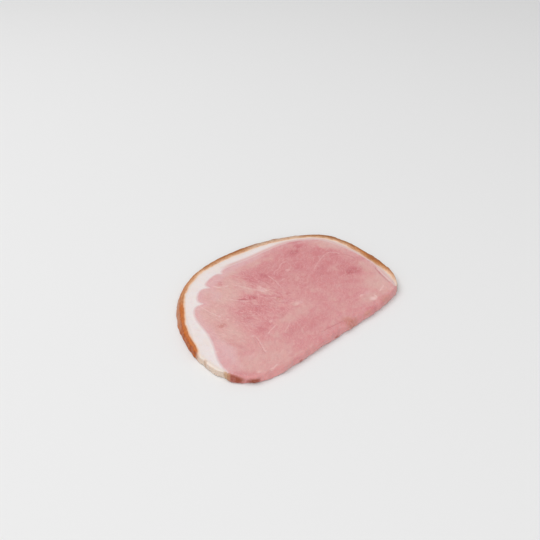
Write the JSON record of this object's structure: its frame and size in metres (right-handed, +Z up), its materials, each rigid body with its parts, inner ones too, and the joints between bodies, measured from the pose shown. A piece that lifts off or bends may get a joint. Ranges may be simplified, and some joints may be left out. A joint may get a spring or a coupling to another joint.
{
  "type": "cooked ham slice with rind",
  "caption": "Thick slice of cooked ham, pink lean with a white fat layer and a golden brown rind on its left, back and right sides.",
  "frame": {"origin": "under the middle of the slice, on the surface it lies on", "axes": "+X along the straight front edge, towards the pointed end; +Y towards the rind at the back; +Z up, out of the shown cut face"},
  "size_m": [0.187, 0.1446, 0.006],
  "materials": {
    "lean_meat": "moist pink cooked ham with fine pale veins, satin sheen",
    "fat_with_rind": "soft white fat, with smoked golden brown rind as its outer skin"
  },
  "bodies": {
    "root": {"lean_meat": "lean_meat", "fat_with_rind": "fat_with_rind"}
  },
  "joints": []
}
